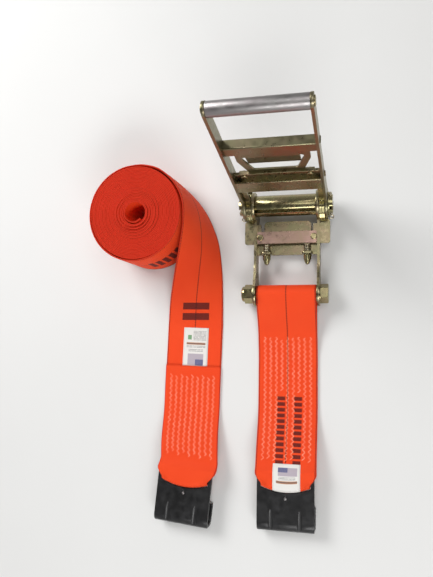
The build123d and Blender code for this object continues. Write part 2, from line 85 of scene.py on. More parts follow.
# ---- sizes shared with the CAD source -------------------------------------------------------
WEB_WIDTH = 101.6
HALF = WEB_WIDTH / 2
PLY = 2.5                    # room that one ply takes
WEB_THICK = 2.3              # the webbing itself
HOOK_TOP = 30.0
HOOK_PLATE = 6.0
HOOK_HEEL = 27.0             # slot to the plate's webbing end
SLOT_R = 102.5
SLOT_SPREAD = 41.0           # half width of the webbing where it is gathered in the slot
FLEX_Y = 33.5                # slot to the line where a hook hinges on its strap
FLEX_Z = 27.0
FIXED_SLOT = (0.0, -326.0)
LONG_SLOT = (-174.3, -328.3)
LONG_YAW = math.radians(-5.5)
ROLL = (-247.1, 131.4)
ROLL_HOLE_R = 15.5
TIGHT_PITCH = 2.33           # from one turn of the roll to the next, outside and near the middle
LOOSE_PITCH = 2.47
LEAVES_ROLL = ((-250.0, 213.9), (-232.0, 213.3), (-205.0, 204.4))
FLOOR_RAIL = ((-176, 181), (-153, 152), (-137, 121), (-126, 88), (-119.5, 40), (-117.5, -5),
              (-116.9, -50))
TOP_RAIL = ((-178, 179, 101.6), (-164.5, 150, 100.6), (-164, 118, 96), (-175, 77, 79),
            (-195, 33, 45), (-212, -10, 13), (-218.5, -50, 0))

# ---- sizes of the soft goods ----------------------------------------------------------------
LONG_LENGTH = 9144.0         # a thirty-foot strap, cut length
CUT_END_Y = -126.0           # the long strap's end, sewn down on top
TAIL_START_Y = -54.0         # its other ply lies flat as far as this
SEAM_END = 43.0              # the plies part this far before the slot
RISE = 140.0                 # a strap begins to rise this far before the slot
NOSE_R = 4.6                 # the webbing's turn over the edge of the slot
SLACK = 1.5                  # it hangs this far past the middle of the slot
CLEAR = 0.3                  # webbing to the steel that it goes round
GATHER_FROM = 30.0           # outside this, the webbing is gathered to fit the slot
FULL_WIDTH_Y = 18.0          # and this far from the slot it has its full width again
BOW_END = 38.0               # its rows follow the slot's arc until here
PUFF = 1.6                   # rise of the gathered corners
LONG_LEAN = 3.0              # the long strap comes to its hook this far to the right
HOOK_LEVEL_END = 25.0        # the sewn plies lie at the hook's height up to here
ROW_STEP = 5.0               # from one row of a sewn ply to the next
TAIL_STEPS = 64
TAIL_CUP = 5.0               # the twisted tail bulges this far between its edges
LABEL_WIDTH = 46.0
LABEL_THICK = 0.45
THREAD_R = 0.46              # radius of the sewing thread
HOLE_DEPTH = 0.25            # the thread's middle goes this deep at each needle hole


def placed(points):
    """Millimetres from the bolt, as an array of points, in the frame's metres."""
    return np.asarray(points, float) * MM + ORIGIN


def at(x, y, z):
    return Vector(placed((x, y, z)))


def smooth(low, high, x):
    """0 below low, 1 above high, and a smooth step between."""
    t = np.clip((np.asarray(x, float) - low) / (high - low), 0, 1)
    return t * t * (3 - 2 * t)


def polyline_length(points):
    steps = np.linalg.norm(np.diff(points, axis=0), axis=1)
    return np.concatenate([[0], np.cumsum(steps)])


def spline(points, count):
    """A smooth curve through the points, as count + 1 points spaced evenly along it."""
    p = np.asarray(points, float)
    p = np.vstack([2 * p[0] - p[1], p, 2 * p[-1] - p[-2]])
    dense = []
    for a, b, c, d in zip(p, p[1:], p[2:], p[3:]):
        for t in np.linspace(0, 1, 24, endpoint=False):
            dense.append(0.5 * (2 * b + (c - a) * t + (2 * a - 5 * b + 4 * c - d) * t * t
                                + (3 * b - a - 3 * c + d) * t ** 3))
    return spaced(np.array(dense + [p[-2]]), count)


def spaced(points, count):
    """The same line with count + 1 points spaced evenly along it."""
    run = polyline_length(points)
    where = np.linspace(0, run[-1], count + 1)
    return np.stack([np.interp(where, run, points[:, k]) for k in range(points.shape[1])], axis=1)


def new_object(name, vertices, faces, material=None, smooth_faces=True):
    mesh = bpy.data.meshes.new(name)
    mesh.from_pydata([tuple(v) for v in vertices], [], faces)
    mesh.update()
    if smooth_faces:
        mesh.shade_smooth()
    else:
        mesh.shade_flat()
    piece = bpy.data.objects.new(name, mesh)
    bpy.context.scene.collection.objects.link(piece)
    if material:
        mesh.materials.append(material)
    return piece


# ---- node helpers ---------------------------------------------------------------------------
def new_material(name, **settings):
    """A material and its tree; settings go to the Principled shader's own sockets."""
    material = bpy.data.materials.new(name)
    material.use_nodes = True
    tree = material.node_tree
    shader = tree.nodes["Principled BSDF"]
    for socket, value in settings.items():
        shader.inputs[socket.replace("_", " ")].default_value = value
    return material, tree, shader.inputs


def feed(tree, socket, value):
    """Link a socket, or set it to a constant."""
    if isinstance(value, bpy.types.NodeSocket):
        tree.links.new(value, socket)
    else:
        socket.default_value = value


def node(tree, kind, inputs=None, **settings):
    made = tree.nodes.new("ShaderNode" + kind)
    for name, value in settings.items():
        setattr(made, name, value)
    for name, value in (inputs or {}).items():
        feed(tree, made.inputs[name], value)
    return made


def calc(tree, operation, *values, clamp=False):
    made = node(tree, "Math", operation=operation, use_clamp=clamp)
    for k, value in enumerate(values):
        feed(tree, made.inputs[k], value)
    return made.outputs[0]


def product(tree, *values):
    result = values[0]
    for value in values[1:]:
        result = calc(tree, "MULTIPLY", result, value)
    return result


def mix(tree, factor, a, b, blend_type="MIX"):
    made = node(tree, "Mix", data_type="RGBA", blend_type=blend_type)
    for name, value in (("Factor", factor), ("A", a), ("B", b)):
        socket = [s for s in made.inputs if s.name == name and s.enabled][0]
        feed(tree, socket, value)
    return [s for s in made.outputs if s.enabled][0]


def colour(r, g, b):
    return (r, g, b, 1.0)


def noise(tree, vector, scale, detail=3.0, roughness=0.55, distortion=0.0):
    made = node(tree, "TexNoise", {"Vector": vector, "Scale": scale, "Detail": detail,
                                   "Roughness": roughness, "Distortion": distortion})
    return made.outputs["Fac"]


def spread(tree, value, low, high, to_low=0.0, to_high=1.0):
    made = node(tree, "MapRange", {"Value": value, "From Min": low, "From Max": high,
                                   "To Min": to_low, "To Max": to_high})
    return made.outputs["Result"]


def stretched(tree, x, y, z):
    """Object coordinates, in metres, stretched by these scales."""
    source = node(tree, "TexCoord").outputs["Object"]
    return node(tree, "Mapping", {"Vector": source, "Scale": (x, y, z)}).outputs["Vector"]


def bump(tree, height, distance, strength=1.0, under=None):
    inputs = {"Height": height, "Distance": distance, "Strength": strength}
    if under:
        inputs["Normal"] = under
    return node(tree, "Bump", inputs).outputs["Normal"]


def band(tree, value, low, high):
    """1 where the value lies between low and high."""
    middle, half = (low + high) / 2, (high - low) / 2
    return calc(tree, "COMPARE", value, middle, half)


# ---- webbing material -----------------------------------------------------------------------
RIB = 1.45 * MM              # from one warp rib of the weave to the next
FLOAT_LENGTH = 4.6 * MM      # of a rib's raised thread
HERRINGBONE = 12.7 * MM      # the floats' slant turns round this often across the webbing
TRACER = 0.85 * MM           # half width of the dark line along the middle
BORDER_AT = 48.9 * MM        # the dark border lines, from the middle, and their half width
BORDER = 0.55 * MM
WEB_ORANGE, WEB_BRIGHT = colour(0.91, 0.061, 0.010), colour(0.96, 0.079, 0.014)
# The groove tone is painted shade for the recesses between the weave's floats.
WEB_GROOVE_SHADE, WEB_FUZZ = colour(0.66, 0.034, 0.008), colour(1.0, 0.20, 0.06)
WEB_EDGE, DARK_THREAD = colour(0.50, 0.022, 0.010), colour(0.035, 0.012, 0.010)
INK = colour(0.030, 0.010, 0.012)
BAR_SHARE = 0.66             # inked share of a printed bar's pitch


def webbing_coordinates(tree):
    """(across, along, back): metres from the middle, metres from the cut end, 1 on the back."""
    uv = node(tree, "UVMap", uv_map="webbing").outputs["UV"]
    parts = node(tree, "SeparateXYZ", {"Vector": uv}).outputs
    back = calc(tree, "GREATER_THAN", parts["X"], 0.5)
    return calc(tree, "SUBTRACT", parts["X"], back), parts["Y"], back


def weave_height(tree, across, along):
    """Warp ribs whose floats step along a herringbone: 0 in the grooves to 1 on a float."""
    ridge = calc(tree, "PINGPONG", calc(tree, "DIVIDE", across, RIB), 0.5)
    ridge = calc(tree, "POWER", calc(tree, "MULTIPLY", ridge, 2.0), 0.6)
    slant = calc(tree, "MULTIPLY", calc(tree, "PINGPONG", across, HERRINGBONE), 1.6)
    step = calc(tree, "DIVIDE", calc(tree, "ADD", along, slant), FLOAT_LENGTH)
    crest = calc(tree, "MULTIPLY", calc(tree, "PINGPONG", step, 0.5), 2.0)
    lift = calc(tree, "POWER", crest, 0.5)
    return calc(tree, "MULTIPLY", ridge, spread(tree, lift, 0, 1, 0.45, 1.0))


def ink_mask(tree, across, along, columns, start, end, pitch):
    """Columns of plain printed bars, from start to end along the webbing."""
    steps = calc(tree, "DIVIDE", calc(tree, "SUBTRACT", along, start), pitch)
    bar = calc(tree, "LESS_THAN", calc(tree, "FRACT", steps), BAR_SHARE)
    column = 0.0
    for centre, half in columns:
        column = calc(tree, "MAXIMUM", column, calc(tree, "COMPARE", across, centre, half))
    return product(tree, bar, column, band(tree, along, start, end))


def webbing_material(name, prints):
    """Orange polyester webbing; prints are the (columns, start, end, pitch) of its blocks."""
    material, tree, shader = new_material(name, Sheen_Weight=0.03, Sheen_Roughness=0.4,
                                          Specular_IOR_Level=0.15)
    shader["Sheen Tint"].default_value = colour(1.0, 0.45, 0.25)
    across, along, back = webbing_coordinates(tree)
    front = calc(tree, "SUBTRACT", 1.0, back)
    side = calc(tree, "ABSOLUTE", across)
    height = weave_height(tree, across, along)
    where = node(tree, "CombineXYZ", {"X": across, "Y": along}).outputs["Vector"]
    broad = noise(tree, where, 14, 4)
    fine = noise(tree, where, 900, 2)
    base = mix(tree, spread(tree, broad, 0.3, 0.7), WEB_ORANGE, WEB_BRIGHT)
    # Painted shade: darker in the weave's grooves, full tone on its floats.
    base = mix(tree, spread(tree, height, 0.1, 0.75), WEB_GROOVE_SHADE, base)
    base = mix(tree, spread(tree, fine, 0.35, 0.7, 0.0, 0.16), base, WEB_FUZZ)
    edge = spread(tree, side, 48.6 * MM, 50.4 * MM)
    base = mix(tree, product(tree, edge, 0.7), base, WEB_EDGE)
    stitch = calc(tree, "FRACT", calc(tree, "DIVIDE", along, FLOAT_LENGTH))
    dash = calc(tree, "LESS_THAN", stitch, 0.78)
    tracer = calc(tree, "LESS_THAN", side, TRACER)
    border = calc(tree, "COMPARE", side, BORDER_AT, BORDER)
    thread = product(tree, front, dash, calc(tree, "MAXIMUM", tracer, border))
    base = mix(tree, product(tree, thread, 0.85), base, DARK_THREAD)
    ink = 0.0
    for columns, start, end, pitch in prints:
        block = ink_mask(tree, across, along, columns, start, end, pitch)
        ink = calc(tree, "MAXIMUM", ink, block)
    worn = spread(tree, noise(tree, where, 1100, 2), 0.30, 0.55, 0.62, 0.92)
    base = mix(tree, product(tree, ink, front, worn), base, INK)
    feed(tree, shader["Base Color"], base)
    feed(tree, shader["Roughness"], spread(tree, height, 0, 1, 0.78, 0.52))
    relief = bump(tree, height, 0.35 * MM)
    feed(tree, shader["Normal"], bump(tree, fine, 0.12 * MM, 0.6, relief))
    return material


# ---- webbing geometry -----------------------------------------------------------------------
# Places across the webbing where its woven edge thins, with the share of the thickness there.
EDGE_ROUND = ((HALF, 0.35), (HALF - 0.35, 0.75), (HALF - 1.1, 1.0))
inner_columns = np.linspace(-HALF + 4.0, HALF - 4.0, 23)
ACROSS = np.concatenate([[-v for v, _ in EDGE_ROUND], inner_columns,
                         [v for v, _ in reversed(EDGE_ROUND)]])
FULLNESS = np.array([e for _, e in EDGE_ROUND] + [1.0] * len(inner_columns)
                    + [e for _, e in reversed(EDGE_ROUND)])
LEVEL = 0 * ACROSS           # added to a number, it makes a whole row of that number


class Ribbon:
    """Webbing as a grid of points on its middle surface: along its length, then across."""

    def __init__(self, grid, across=ACROSS, fullness=FULLNESS, thick=WEB_THICK):
        self.grid, self.across, self.fullness, self.thick = grid, across, fullness, thick
        along = np.gradient(grid, axis=0)
        sideways = np.gradient(grid, axis=1)
        normal = np.cross(along, sideways)
        self.normal = normal / np.linalg.norm(normal, axis=2, keepdims=True)
        self.middle = grid[:, grid.shape[1] // 2]
        self.length = polyline_length(self.middle)

    def point(self, along, across, lift):
        """A point on the ribbon, lifted from its middle surface towards the front (below 0: back)."""
        i = min(max(bisect.bisect_right(self.length, along) - 1, 0), len(self.length) - 2)
        j = min(max(bisect.bisect_right(self.across, across) - 1, 0), len(self.across) - 2)
        t = (along - self.length[i]) / (self.length[i + 1] - self.length[i])
        u = (across - self.across[j]) / (self.across[j + 1] - self.across[j])
        weights = ((i, j, (1 - t) * (1 - u)), (i + 1, j, t * (1 - u)),
                   (i, j + 1, (1 - t) * u), (i + 1, j + 1, t * u))
        place = sum(w * self.grid[a, b] for a, b, w in weights)
        normal = sum(w * self.normal[a, b] for a, b, w in weights)
        return place - normal / np.linalg.norm(normal) * lift

    def mesh(self, name, material):
        """A closed skin round the grid, with metres across and along as uv; the back is at 1."""
        n, m = self.grid.shape[:2]
        offset = self.normal * (self.thick / 2 * self.fullness)[None, :, None]
        ring = np.concatenate([self.grid + offset, (self.grid - offset)[:, ::-1]], axis=1)
        vertices = placed(ring.reshape(-1, 3))
        back_u = self.across * MM + 1
        front_u = self.across[::-1] * MM
        ring_u = np.concatenate([back_u, front_u])
        size = 2 * m
        faces, uvs = [], []
        for i in range(n - 1):
            low, high = self.length[i] * MM, self.length[i + 1] * MM
            for j in range(size):
                k = (j + 1) % size
                faces.append((i * size + j, i * size + k, (i + 1) * size + k, (i + 1) * size + j))
                a, b = ring_u[j], ring_u[k]
                if j == m - 1:
                    a = b
                if j == size - 1:
                    b = a
                uvs += [(a, low), (b, low), (b, high), (a, high)]
        for i in (0, n - 1):
            for j in range(m - 1):
                row = i * size
                quad = (row + j, row + size - 1 - j, row + size - 2 - j, row + j + 1)
                faces.append(quad if i == 0 else quad[::-1])
                uvs += [(ring_u[q - row], self.length[i] * MM) for q in faces[-1]]
        piece = new_object(name, vertices, faces, material)
        layer = piece.data.uv_layers.new(name="webbing")
        layer.data.foreach_set("uv", np.array(uvs, np.float32).ravel())
        return piece


def hook_frame(slot, yaw):
    """A function that puts hook coordinates (across, from the slot, up) into the layout."""
    c, s = math.cos(yaw), math.sin(yaw)

    def place(x, y, z):
        return np.stack([slot[0] + x * c - y * s, slot[1] + x * s + y * c, z], axis=-1)
    return place


LOOP_TOP = HOOK_TOP + CLEAR + WEB_THICK / 2
LOOP_LOW = HOOK_TOP - HOOK_PLATE - CLEAR - WEB_THICK / 2


def level_row(place, y, z):
    """A row of the ribbon that lies level, square to the strap."""
    return place(ACROSS, LEVEL + y, LEVEL + z)


def joined_height(y):
    """Height of the surface between two sewn plies, y from the slot."""
    return PLY + (FLEX_Z - PLY) * (1 - smooth(HOOK_LEVEL_END, RISE, y))


def slot_turn(count=9):
    """(y, z) of the webbing's middle: over the slot's edge, down through it and back below."""
    angles = np.linspace(0, math.pi / 2, count)
    over = [(NOSE_R * (1 - math.sin(a)), LOOP_TOP - NOSE_R * (1 - math.cos(a))) for a in angles]
    under = [(NOSE_R * (1 - math.cos(a)), LOOP_LOW + NOSE_R * (1 - math.sin(a))) for a in angles]
    return np.array(over[:-1] + under) - (SLACK, 0)


def loop_rows(place, lean=0.0):
    """Rows through a hook's slot, from the sewn plies' top to their underside, y from the slot.

    The strap leans this far to the right of the slot's middle where its plies come together."""
    run = np.linspace(SEAM_END, NOSE_R - SLACK, 19)
    parted = smooth(HOOK_HEEL - 1, SEAM_END, run)
    joined = joined_height(run)
    above = np.stack([run, LOOP_TOP + (joined + PLY / 2 - LOOP_TOP) * parted], axis=1)
    below = np.stack([run, LOOP_LOW + (joined - PLY / 2 - LOOP_LOW) * parted], axis=1)[::-1]
    line = np.concatenate([above[:-1], slot_turn(), below[1:]])
    gather = np.clip((np.abs(ACROSS) - GATHER_FROM) / (HALF - GATHER_FROM), 0, 1)
    rows = []
    for k, (y, z) in enumerate(line):
        opening = min(max((y - NOSE_R) / (FULL_WIDTH_Y - NOSE_R), 0), 1)
        pinch = 1 - math.sqrt(opening * (2 - opening))
        x = ACROSS - np.sign(ACROSS) * gather * pinch * (HALF - SLOT_SPREAD)
        bow = (SLOT_R - np.sqrt(SLOT_R ** 2 - x ** 2)) * (1 - smooth(NOSE_R, BOW_END, y))
        on_top = 1.0 if k < len(above) + 4 else 0.0
        puff = PUFF * on_top * pinch * np.sin(math.pi * gather) ** 2
        rows.append(place(x + lean * smooth(4, SEAM_END, y), y + bow, z + puff))
    return rows


# ---- short strap: from its hidden end through the hook, back over the bolt and under ---------
fixed_place = hook_frame(FIXED_SLOT, 0.0)
SHORT_BOLT = -FIXED_SLOT[1]  # slot to the bolt's axis
PART_FROM_BOLT = 62.0        # the plies part this far before the bolt
SLEEVE_RISE = 15.0           # the sewn plies rise by this, between two places before the bolt
RISE_FROM, RISE_TO = 112.0, 14.0
OVER, UNDER = 25.6, 12.6     # heights of the two plies where they open towards the sleeve


def short_height(y, level):
    """Height of the upper (level 1) or lower (-1) ply, y from the slot; it rises to the sleeve."""
    rise = SLEEVE_RISE * smooth(SHORT_BOLT - RISE_FROM, SHORT_BOLT - RISE_TO, y)
    return joined_height(y) + rise + level * PLY / 2


def short_rows():
    """Along the strap's lower ply to the hook, through its slot, back on top and round the bolt."""
    part = SHORT_BOLT - PART_FROM_BOLT
    near, far = part - 19, part + 32
    outward = np.arange(SHORT_BOLT / 2 + 6, SEAM_END, -ROW_STEP)
    lower = [level_row(fixed_place, y, short_height(y, -1)) for y in outward]
    loop = loop_rows(fixed_place)[::-1]
    back = np.arange(SEAM_END + 4, near - 1, ROW_STEP)
    upper = [level_row(fixed_place, y, short_height(y, 1)) for y in back]
    radius = SLEEVE_R + CLEAR + WEB_THICK / 2
    turn = [(SHORT_BOLT + radius * math.sin(a), BOLT_Z + radius * math.cos(a))
            for a in np.linspace(math.radians(-8), math.radians(206), 26)]
    lead = spline([(near, short_height(near, 1)), (part, short_height(part, 1)), (far, OVER),
                   turn[0], turn[2]], 24)[:-6]
    away = spline([turn[-3], turn[-1], (far, UNDER), (part, short_height(part, -1)),
                   (near, short_height(near, -1))], 24)[6:]
    around = spaced(np.array([*lead, *turn[1:-1], *away]), 66)
    bolt = [level_row(fixed_place, y, z) for y, z in around]
    home = np.arange(near - 4, SHORT_BOLT / 2 + 8, -ROW_STEP)
    last = [level_row(fixed_place, y, short_height(y, -1)) for y in home]
    return np.array(lower + loop + upper + bolt + last)


# ---- long strap: cut end on top, through the hook, back below, tail and roll -----------------
long_place = hook_frame(LONG_SLOT, LONG_YAW)
LONG_LINE = spline([(-167.7, -51), (-169.8, -122), (-171.2, -182), (-170.9, -240),
                    tuple(long_place(LONG_LEAN, SEAM_END, 0.0)[:2])], 60)
SQUARE_FROM = 110.0          # its rows turn square to the hook this far before the slot


def long_run_rows(level, start_y, end_y):
    """Rows of one ply between two places along the strap's plan line."""
    heading = np.gradient(LONG_LINE, axis=0)
    heading /= np.linalg.norm(heading, axis=1, keepdims=True)
    rows = []
    step = ROW_STEP if end_y > start_y else -ROW_STEP
    for y in np.arange(start_y, end_y, step):
        x, hx, hy = (np.interp(-y, -LONG_LINE[:, 1], column)
                     for column in (LONG_LINE[:, 0], heading[:, 0], heading[:, 1]))
        turn = math.atan2(hx, -hy)
        near_hook = smooth(-LONG_SLOT[1] - SQUARE_FROM, -LONG_SLOT[1] - SEAM_END, -y)
        turned = turn + (LONG_YAW - turn) * near_hook
        height = joined_height(y - LONG_SLOT[1]) + level * PLY / 2
        rows.append(np.stack([x + ACROSS * math.cos(turned), y + ACROSS * math.sin(turned),
                              LEVEL + height], axis=-1))
    return rows


def tail_rows():
    """The tail, from where it lies flat to where it meets the roll on edge."""
    lift = WEB_THICK / 2
    lower = [(*p, 0.0) for p in LEAVES_ROLL] + [(*p, lift) for p in FLOOR_RAIL]
    upper = [(*p, WEB_WIDTH) for p in LEAVES_ROLL] + [(x, y, z + lift) for x, y, z in TOP_RAIL]
    floor, top = (spline(points, TAIL_STEPS)[::-1] for points in (lower, upper))
    ahead = np.gradient(top + floor, axis=0)
    share = ((ACROSS + HALF) / WEB_WIDTH)[:, None]
    rows = []
    for k, (a, b) in enumerate(zip(top, floor)):
        outward = np.cross(b - a, ahead[k])
        outward /= np.linalg.norm(outward)
        cup = TAIL_CUP * math.sin(math.pi * k / TAIL_STEPS) ** 2
        rows.append(a + (b - a) * share + outward * cup * 4 * share * (1 - share))
    return rows


LOOSE_WITHIN = (34.0, 46.0)  # the turns loosen between these radii
CURL_END = (20.0, 75.0)      # the inner end curls away from its turn over this much webbing
CURL_PITCH = 6.0
OUTER_END = (2.6, 4.4)       # radians of the first turn over which it stands off the next
STAND_OFF = 1.6


def roll_rows(length):
    """A spiral of this length from where the tail leaves the roll, wound inwards.

    Its turns stand a little unevenly, and ride up where they are loose."""
    start = np.array(LEAVES_ROLL[0]) - ROLL
    angle, radius = math.atan2(start[1], start[0]), float(np.hypot(*start))
    rows, run, turned = [], 0.0, 0.0
    step = math.radians(5)
    while run < length and radius > ROLL_HOLE_R / 2:
        loose = 1 - smooth(*LOOSE_WITHIN, radius)
        curl = 1 - smooth(*CURL_END, length - run)
        stand_off = smooth(*OUTER_END, turned + step) - smooth(*OUTER_END, turned)
        pitch = TIGHT_PITCH + (LOOSE_PITCH - TIGHT_PITCH) * loose + CURL_PITCH * curl
        radius -= pitch * step / math.tau + STAND_OFF * stand_off
        angle += step
        turned += step
        run += radius * step
        ease = smooth(0, 3, turned)
        wave = 0.35 * math.sin(turned * 0.37) + 0.3 * math.sin(turned * 0.113 + 1)
        rise = wave + 1.2 + loose * (1.2 + 0.9 * math.sin(turned * 0.5))
        ripple = ease * 0.05 * math.sin(turned * 2.03)
        slack = loose * 0.25 * math.sin(turned * 1.9 + 0.6)
        far = radius + ripple + slack
        rows.append(np.stack([ROLL[0] + far * math.cos(angle) + LEVEL,
                              ROLL[1] + far * math.sin(angle) + LEVEL,
                              HALF - ACROSS + ease * rise], axis=-1))
    return rows


def long_rows():
    """Both plies through the hook, then the tail and the roll, to the strap's full cut length."""
    seam = LONG_SLOT[1] + SEAM_END
    rows = long_run_rows(1, CUT_END_Y, seam + 3)
    rows += loop_rows(long_place, LONG_LEAN)
    rows += long_run_rows(-1, seam + 4, TAIL_START_Y)
    rows += tail_rows()
    unrolled = Ribbon(np.array(rows)).length[-1]
    return np.array(rows + roll_rows(LONG_LENGTH - unrolled)[1:])


short = Ribbon(short_rows())
long = Ribbon(long_rows())


def along_at(ribbon, y, row=0):
    """How far along a ribbon its middle first crosses y, from a row on."""
    middle = ribbon.middle[:, 1] - y
    for k in range(row, len(middle) - 1):
        if middle[k] * middle[k + 1] <= 0:
            t = middle[k] / (middle[k] - middle[k + 1])
            return ribbon.length[k] + t * (ribbon.length[k + 1] - ribbon.length[k])
    raise ValueError(f"the ribbon doesn't cross {y}")


# The row where each strap turns in its slot.  After it come the short strap's upper ply and the
# long strap's lower one.
short_slot_row, long_slot_row = (int(np.argmin(ribbon.middle[:, 1])) for ribbon in (short, long))
TAIL_LEAVES = along_at(long, LEAVES_ROLL[-1][1], long_slot_row)
BAR_COLUMNS = [(-11 * MM, 6.6 * MM), (18 * MM, 6.6 * MM)]    # (centre, half width) across
SHORT_PRINT = [(BAR_COLUMNS, along_at(short, -293, short_slot_row) * MM,
                along_at(short, -172, short_slot_row) * MM, 9.6 * MM)]
print_start = along_at(long, -44, long_slot_row)
LONG_PRINT = [([(0.0, 25 * MM)], print_start * MM, (print_start + 34) * MM, 19.0 * MM),
              ([(8 * MM, 17 * MM)], (TAIL_LEAVES + 312) * MM, (TAIL_LEAVES + 398) * MM, 13.0 * MM)]
short_webbing = webbing_material("webbing_short", SHORT_PRINT)
long_webbing = webbing_material("webbing_long", LONG_PRINT)
short_strap = short.mesh("short_webbing", short_webbing)
long_strap = long.mesh("long_webbing", long_webbing)

FLEX_REACH = (8.0, -7.0)     # places either side of a hook's hinge line
SHORT_FLEX = [fixed_place(0.0, FLEX_Y + reach, FLEX_Z) for reach in FLEX_REACH]
LONG_FLEX = [long_place(0.0, FLEX_Y + reach, FLEX_Z) for reach in FLEX_REACH]


def bend_at(piece, flex):
    start, end = (tuple(placed(p)) for p in flex)
    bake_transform(piece)
    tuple(start)
    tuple(end)


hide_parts("short_strap", "fixed_hook_loop")
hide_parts("long_strap", "long_strap_sewn_end", "long_strap_tail", "long_strap_roll",
            "long_hook_loop")
bend_at(short_strap, SHORT_FLEX)
bend_at(long_strap, LONG_FLEX)


# ---- labels ---------------------------------------------------------------------------------
LILAC, NAVY = colour(0.42, 0.36, 0.42), colour(0.05, 0.06, 0.20)
BROWN, GREEN_MARK = colour(0.10, 0.035, 0.02), colour(0.10, 0.30, 0.10)
AMBER, DASH_GREY = colour(0.45, 0.17, 0.04), colour(0.16, 0.16, 0.17)
CLOTH_GREY, CLOTH_WHITE = colour(0.66, 0.64, 0.60), colour(0.80, 0.79, 0.76)
PANEL_WORN, HEM_THREAD = colour(0.5, 0.48, 0.48), colour(0.55, 0.50, 0.45)


def label_coordinates(tree):
    """(across, along) in millimetres on a label, from its middle and from its lower end."""
    across, along, _ = webbing_coordinates(tree)
    return [calc(tree, "DIVIDE", value, MM) for value in (across, along)]


def patch(tree, across, along, x, y):
    """1 inside a rectangle of the label, given as its (low, high) across and along."""
    return product(tree, band(tree, across, *x), band(tree, along, *y))


def label_material(name, panels, lines):
    """White woven label with plain colour panels and rows of short dashes in place of words."""
    material, tree, shader = new_material(name, Sheen_Weight=0.1, Specular_IOR_Level=0.35)
    across, along = label_coordinates(tree)
    where = node(tree, "CombineXYZ", {"X": across, "Y": along}).outputs["Vector"]
    cloth = noise(tree, where, 1.7, 3)
    base = mix(tree, cloth, CLOTH_GREY, CLOTH_WHITE)
    for x, y, tone in panels:
        mottled = mix(tree, spread(tree, cloth, 0.35, 0.65, 0.0, 0.35), tone, PANEL_WORN)
        base = mix(tree, patch(tree, across, along, x, y), base, mottled)
    for x, y, pitch in lines:
        row = calc(tree, "LESS_THAN", calc(tree, "FRACT", calc(tree, "DIVIDE", along, pitch)), 0.5)
        flattened = node(tree, "Mapping", {"Vector": where, "Scale": (1, 0.25, 1)})
        speckle = noise(tree, flattened.outputs["Vector"], 0.9, 1)
        dashes = calc(tree, "GREATER_THAN", speckle, 0.42)
        mask = product(tree, patch(tree, across, along, x, y), row, dashes, 0.75)
        base = mix(tree, mask, base, DASH_GREY)
    hem = calc(tree, "COMPARE", calc(tree, "ABSOLUTE", across), LABEL_WIDTH / 2 - 1.8, 0.3)
    stitch = calc(tree, "LESS_THAN", calc(tree, "FRACT", calc(tree, "DIVIDE", along, 3.0)), 0.6)
    base = mix(tree, product(tree, hem, stitch, 0.55), base, HEM_THREAD)
    feed(tree, shader["Base Color"], base)
    feed(tree, shader["Roughness"], spread(tree, cloth, 0, 1, 0.55, 0.75))
    warp, weft = (calc(tree, "PINGPONG", value, 0.35) for value in (across, along))
    threads = calc(tree, "ADD", warp, weft)
    feed(tree, shader["Normal"], bump(tree, threads, 0.15 * MM, 0.6))
    return material


def label_on(ribbon, name, start, end, centre, material):
    """A label sewn on a ribbon's front between two distances along it."""
    across = np.linspace(-LABEL_WIDTH / 2, LABEL_WIDTH / 2, 13)
    fullness = np.ones(len(across))
    fullness[[0, -1]] = 0.5
    lift = (WEB_THICK + LABEL_THICK) / 2 + 0.05
    stations = np.linspace(start, end, max(int((end - start) / 1.6), 8))
    grid = np.array([[ribbon.point(s, centre + v, lift) for v in across] for s in stations])
    label = Ribbon(grid, across, fullness, LABEL_THICK)
    return label.mesh(name, material)


SHORT_LABEL = 50.0           # its length; the lower end is hidden in the slot
short_label_end = along_at(short, -283, short_slot_row)
long_label_start, long_label_end = (along_at(long, y, long_slot_row) for y in (-126.4, -58))
short_label_material = label_material("label_short", [
    ((-14, 18), (33.5, 47), LILAC), ((-14, 2), (39.5, 47), NAVY), ((-17, 18), (21, 25.5), AMBER),
    ((-17, 18), (22.4, 24.2), BROWN)], [((-13, 15), (27, 32), 2.4)])
long_label_material = label_material("label_long", [
    ((-14, 15), (2, 22), LILAC), ((0, 15), (1.2, 12), NAVY), ((-17, 18), (38, 42), AMBER),
    ((-17, 18), (39, 40.6), BROWN), ((-15, -8), (47, 55), GREEN_MARK)],
    [((-13, 14), (25, 31), 2.6), ((-17, 18), (32.5, 36.5), 2.2), ((-5, 19), (45, 63), 2.2)])
short_label = label_on(short, "short_strap_label", short_label_end - SHORT_LABEL, short_label_end,
                       2.0, short_label_material)
long_label = label_on(long, "long_strap_label", long_label_start, long_label_end, 2.5,
                      long_label_material)
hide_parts("fixed_hook_label")
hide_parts("long_strap_label")
bend_at(short_label, SHORT_FLEX)
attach(long_label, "long_strap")


# ---- stitching ------------------------------------------------------------------------------
THREAD_DEEP, THREAD_PALE = colour(0.95, 0.28, 0.15), colour(0.98, 0.52, 0.34)


def thread_material():
    """Polyester thread, paler than the webbing where it is rubbed."""
    material, tree, shader = new_material("sewing_thread", Sheen_Weight=0.1, Specular_IOR_Level=0.4,
                                          Roughness=0.5)
    tone = noise(tree, stretched(tree, 1, 1, 1), 90, 2)
    base = mix(tree, spread(tree, tone, 0.35, 0.65), THREAD_DEEP, THREAD_PALE)
    feed(tree, shader["Base Color"], base)
    return material


def zigzag(ribbon, start, end, centre, face, proud=0.25, swing=2.5, half_stitch=4.2):
    """Points of a zigzag seam along a ribbon: down into the webbing at each needle hole.

    It lies on the ribbon's front where face is 1, and on its back where face is -1."""
    lift = WEB_THICK / 2
    points = []
    for k in range(int((end - start) / half_stitch)):
        side = swing if k % 2 else -swing
        hole = start + k * half_stitch
        points.append(ribbon.point(hole, centre + side, face * (lift - HOLE_DEPTH)))
        for t in (0.3, 0.7):
            points.append(ribbon.point(hole + t * half_stitch, centre + side * (1 - 2 * t),
                                       face * (lift + proud)))
    return np.array(points)


